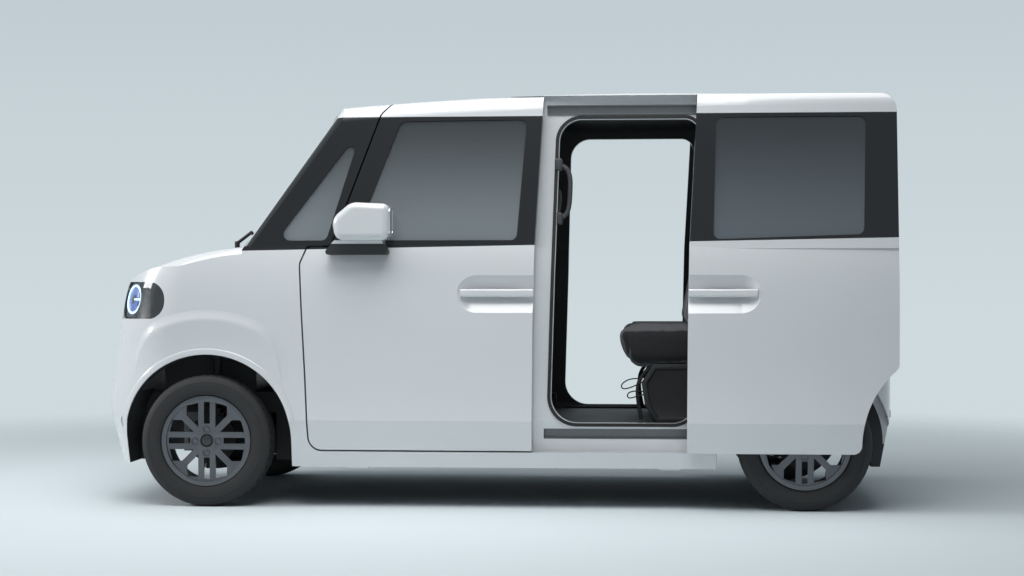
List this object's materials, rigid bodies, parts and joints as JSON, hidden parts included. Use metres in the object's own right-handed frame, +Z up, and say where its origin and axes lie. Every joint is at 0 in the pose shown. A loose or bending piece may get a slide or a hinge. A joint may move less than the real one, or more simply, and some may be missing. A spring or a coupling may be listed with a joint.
{
  "type": "kei car",
  "caption": "Tall boxy small passenger car with hinged front doors, open sliding rear doors, tailgate, bonnet, steered front wheels and a seated cabin.",
  "frame": {"origin": "on the ground under the middle of the car's length and width", "axes": "+X forward, +Y to the car's left, +Z up"},
  "size_m": [3.3968, 1.744, 1.79],
  "materials": {
    "body_paint": "white gloss paint",
    "underbody_steel": "dark underbody coat",
    "black_trim": "black grained plastic",
    "window_glass": "tinted glass",
    "lamp_lens": "clear lens over a bright reflector",
    "tail_lens": "red lens",
    "seal_rubber": "black rubber",
    "rail_metal": "bare steel",
    "dark_alloy": "dark grey metallic wheel paint",
    "tyre_rubber": "black tyre",
    "engine_metal": "cast aluminium",
    "seat_fabric": "woven seat cloth",
    "dash_plastic": "dark moulded plastic"
  },
  "bodies": {
    "root": {"body_side_left": "body_paint", "body_side_right": "body_paint", "roof_panel": "body_paint", "front_fender_left": "body_paint", "front_fender_right": "body_paint", "front_bumper": "body_paint", "rear_bumper": "body_paint", "slide_door_left": "body_paint", "slide_door_right": "body_paint", "floor_pan": "underbody_steel", "front_frame": "underbody_steel", "front_suspension": "underbody_steel", "rear_axle": "underbody_steel", "cowl_panel": "black_trim", "front_grille": "black_trim", "wipers": "black_trim", "steering_column": "black_trim", "fuel_tank": "black_trim", "windshield": "window_glass", "slide_door_glass": "window_glass", "fixed_side_glass": "window_glass", "headlamps": "lamp_lens", "tail_lamps": "tail_lens", "weather_seals": "seal_rubber", "slide_rails": "rail_metal", "slide_arms": "rail_metal", "exhaust": "rail_metal", "engine_block": "engine_metal", "front_seats": "seat_fabric", "rear_seat": "seat_fabric", "dashboard": "dash_plastic"},
    "front_door_left": {"front_door_left": "body_paint", "front_door_glass_left": "window_glass", "door_mirror_left": "body_paint"},
    "front_door_right": {"front_door_right": "body_paint", "front_door_glass_right": "window_glass", "door_mirror_right": "body_paint"},
    "bonnet": {"bonnet": "body_paint"},
    "tailgate": {"tailgate": "body_paint", "tailgate_glass": "window_glass"},
    "knuckle_left": {"knuckle_left": "underbody_steel"},
    "knuckle_right": {"knuckle_right": "underbody_steel"},
    "wheel_front_left": {"rim_front_left": "dark_alloy", "tyre_front_left": "tyre_rubber"},
    "wheel_front_right": {"rim_front_right": "dark_alloy", "tyre_front_right": "tyre_rubber"},
    "wheel_rear_left": {"rim_rear_left": "dark_alloy", "tyre_rear_left": "tyre_rubber"},
    "wheel_rear_right": {"rim_rear_right": "dark_alloy", "tyre_rear_right": "tyre_rubber"},
    "steering_wheel": {"steering_wheel": "dash_plastic"}
  },
  "joints": [
    {"name": "front_door_left_hinge", "type": "hinge", "parent": "root", "child": "front_door_left", "pos_m": [0.74, 0.725, 0.65], "axis": [0, 0, -1], "range_deg": [0, 70]},
    {"name": "front_door_right_hinge", "type": "hinge", "parent": "root", "child": "front_door_right", "pos_m": [0.74, -0.725, 0.65], "axis": [0, 0, 1], "range_deg": [0, 70]},
    {"name": "bonnet_hinge", "type": "hinge", "parent": "root", "child": "bonnet", "pos_m": [1.2, 0, 1.104], "axis": [0, -1, 0], "range_deg": [0, 50]},
    {"name": "tailgate_hinge", "type": "hinge", "parent": "root", "child": "tailgate", "pos_m": [-1.586, 0, 1.768], "axis": [0, 1, 0], "range_deg": [0, 80]},
    {"name": "steer_left", "type": "hinge", "parent": "root", "child": "knuckle_left", "pos_m": [1.2015, 0.5675, 0.2785], "axis": [0, 0, 1], "range_deg": [-35, 35]},
    {"name": "steer_right", "type": "hinge", "parent": "root", "child": "knuckle_right", "pos_m": [1.2015, -0.5675, 0.2785], "axis": [0, 0, 1], "range_deg": [-35, 35]},
    {"name": "steering_wheel_turn", "type": "hinge", "parent": "root", "child": "steering_wheel", "pos_m": [0.52, -0.33, 0.985], "axis": [-0.8829, 0, 0.4695], "range_deg": [-525, 525]},
    {"name": "wheel_front_left_spin", "type": "hinge", "parent": "knuckle_left", "child": "wheel_front_left", "pos_m": [1.2015, 0.6525, 0.2785], "axis": [0, 1, 0], "continuous": true},
    {"name": "wheel_rear_left_spin", "type": "hinge", "parent": "root", "child": "wheel_rear_left", "pos_m": [-1.3185, 0.6525, 0.2785], "axis": [0, 1, 0], "continuous": true},
    {"name": "wheel_front_right_spin", "type": "hinge", "parent": "knuckle_right", "child": "wheel_front_right", "pos_m": [1.2015, -0.6525, 0.2785], "axis": [0, 1, 0], "continuous": true},
    {"name": "wheel_rear_right_spin", "type": "hinge", "parent": "root", "child": "wheel_rear_right", "pos_m": [-1.3185, -0.6525, 0.2785], "axis": [0, 1, 0], "continuous": true}
  ],
  "couplings": [
    {"joint": "steer_right", "follows": "steer_left", "ratio": 1},
    {"joint": "steering_wheel_turn", "follows": "steer_left", "ratio": 15}
  ]
}
